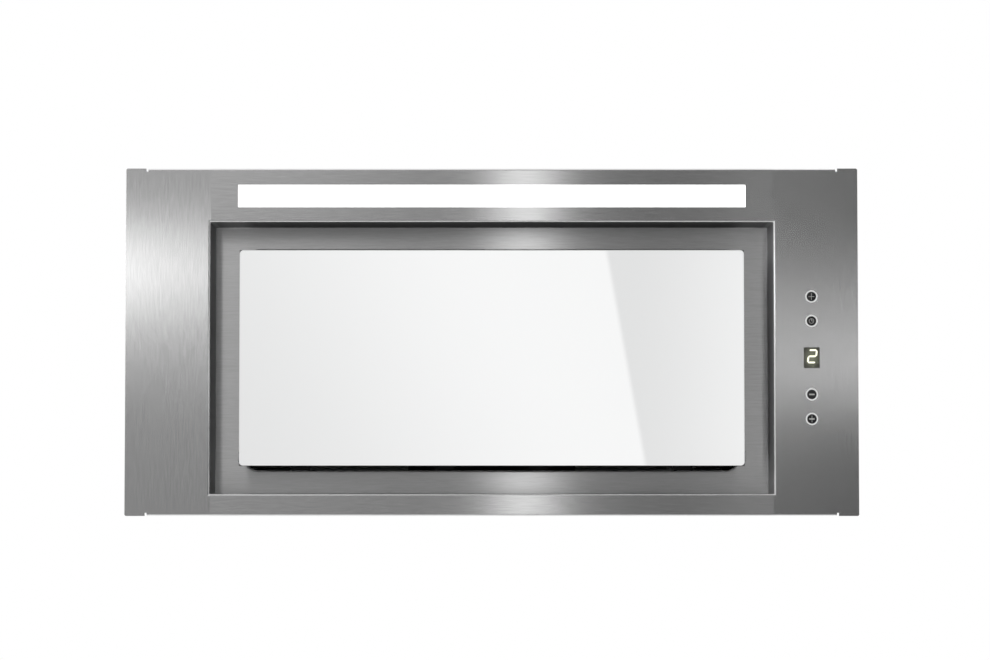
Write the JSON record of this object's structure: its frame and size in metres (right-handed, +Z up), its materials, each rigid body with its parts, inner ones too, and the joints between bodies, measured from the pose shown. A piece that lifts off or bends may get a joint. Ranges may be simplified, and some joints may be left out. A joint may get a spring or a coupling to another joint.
{
  "type": "built-in range hood",
  "caption": "Built-in range hood for a wall cabinet: brushed steel panel with a hinged glass flap, grease filters behind it, a light bar, push buttons and a blower.",
  "frame": {"origin": "middle of the visible face of the steel panel, which looks down out of the cabinet", "axes": "+X along the front edge towards the controls, +Y from the room to the wall, +Z up into the cabinet"},
  "size_m": [0.598, 0.284, 0.28],
  "materials": {
    "brushed_panel": "brushed",
    "galvanised": "satin",
    "zinc_steel": "satin",
    "flap_glass": "gloss",
    "aluminium": "satin",
    "chrome_trim": "polished",
    "black_gloss": "gloss",
    "black_moulding": "matte",
    "grey_moulding": "matte",
    "white_moulding": "matte",
    "light_white": "satin",
    "circuit_board": "satin",
    "ferrite": "matte",
    "rubber": "matte",
    "motor_coat": "satin"
  },
  "bodies": {
    "hood": {"fascia_panel": "brushed_panel", "filter_deck": "brushed_panel", "housing_wrap": "galvanised", "side_plate_left": "galvanised", "side_plate_right": "galvanised", "motor_bracket": "galvanised", "flap_rail_left": "zinc_steel", "flap_rail_right": "zinc_steel", "latch_spring_left": "zinc_steel", "latch_spring_right": "zinc_steel", "collar_screws": "zinc_steel", "grease_filter_left": "aluminium", "grease_filter_right": "aluminium", "filter_mesh_left": "aluminium", "filter_mesh_right": "aluminium", "light_channel": "aluminium", "run_capacitor": "aluminium", "button_rings": "chrome_trim", "display_window": "black_gloss", "scroll_left": "black_moulding", "scroll_right": "black_moulding", "outlet_collar": "black_moulding", "display_module": "black_moulding", "cable_gland": "black_moulding", "light_end_cap_left": "grey_moulding", "light_end_cap_right": "grey_moulding", "control_case": "grey_moulding", "power_module": "grey_moulding", "tact_switches": "grey_moulding", "led_driver": "white_moulding", "terminal_block": "white_moulding", "light_diffuser": "light_white", "control_board": "circuit_board", "led_board": "circuit_board", "catch_magnets": "ferrite", "motor_grommets": "rubber", "motor": "motor_coat"},
    "flap": {"glass_pane": "flap_glass", "glass_carrier": "zinc_steel", "hinge_arm_left": "zinc_steel", "hinge_arm_right": "zinc_steel", "hinge_pins": "zinc_steel"},
    "latch_left": {"filter_latch_left": "black_moulding"},
    "latch_right": {"filter_latch_right": "black_moulding"},
    "wheel": {"impeller_left": "black_moulding", "impeller_right": "black_moulding", "motor_shaft": "zinc_steel"},
    "damper_front": {"damper_flap_front": "black_moulding"},
    "damper_rear": {"damper_flap_rear": "black_moulding"},
    "button_power_body": {"button_power": "black_gloss"},
    "button_timer_body": {"button_timer": "black_gloss"},
    "button_less_body": {"button_less": "black_gloss"},
    "button_more_body": {"button_more": "black_gloss"}
  },
  "joints": [
    {"name": "flap_hinge", "type": "hinge", "parent": "hood", "child": "flap", "pos_m": [0, 0.094, 0.014], "axis": [1, 0, 0], "range_deg": [0, 90]},
    {"name": "power_press", "type": "slide", "parent": "hood", "child": "button_power_body", "axis": [0, 0, 1], "range_m": [0, 0.0012], "stiffness_N_per_m": 1500, "springref_m": -0.0004},
    {"name": "timer_press", "type": "slide", "parent": "hood", "child": "button_timer_body", "axis": [0, 0, 1], "range_m": [0, 0.0012], "stiffness_N_per_m": 1500, "springref_m": -0.0004},
    {"name": "less_press", "type": "slide", "parent": "hood", "child": "button_less_body", "axis": [0, 0, 1], "range_m": [0, 0.0012], "stiffness_N_per_m": 1500, "springref_m": -0.0004},
    {"name": "more_press", "type": "slide", "parent": "hood", "child": "button_more_body", "axis": [0, 0, 1], "range_m": [0, 0.0012], "stiffness_N_per_m": 1500, "springref_m": -0.0004},
    {"name": "latch_left_slide", "type": "slide", "parent": "hood", "child": "latch_left", "axis": [0, 1, 0], "range_m": [0, 0.0042], "stiffness_N_per_m": 800, "springref_m": -0.003, "deforming": ["latch_spring_left"]},
    {"name": "latch_right_slide", "type": "slide", "parent": "hood", "child": "latch_right", "axis": [0, 1, 0], "range_m": [0, 0.0042], "stiffness_N_per_m": 800, "springref_m": -0.003, "deforming": ["latch_spring_right"]},
    {"name": "wheel_spin", "type": "hinge", "parent": "hood", "child": "wheel", "pos_m": [0, -0.043, 0.1625], "axis": [1, 0, 0], "continuous": true},
    {"name": "damper_front_lift", "type": "hinge", "parent": "hood", "child": "damper_front", "pos_m": [0, 0.02671, 0.252], "axis": [-1, 0, 0], "range_deg": [0, 78]},
    {"name": "damper_rear_lift", "type": "hinge", "parent": "hood", "child": "damper_rear", "pos_m": [0, 0.03471, 0.252], "axis": [1, 0, 0], "range_deg": [0, 78]}
  ]
}
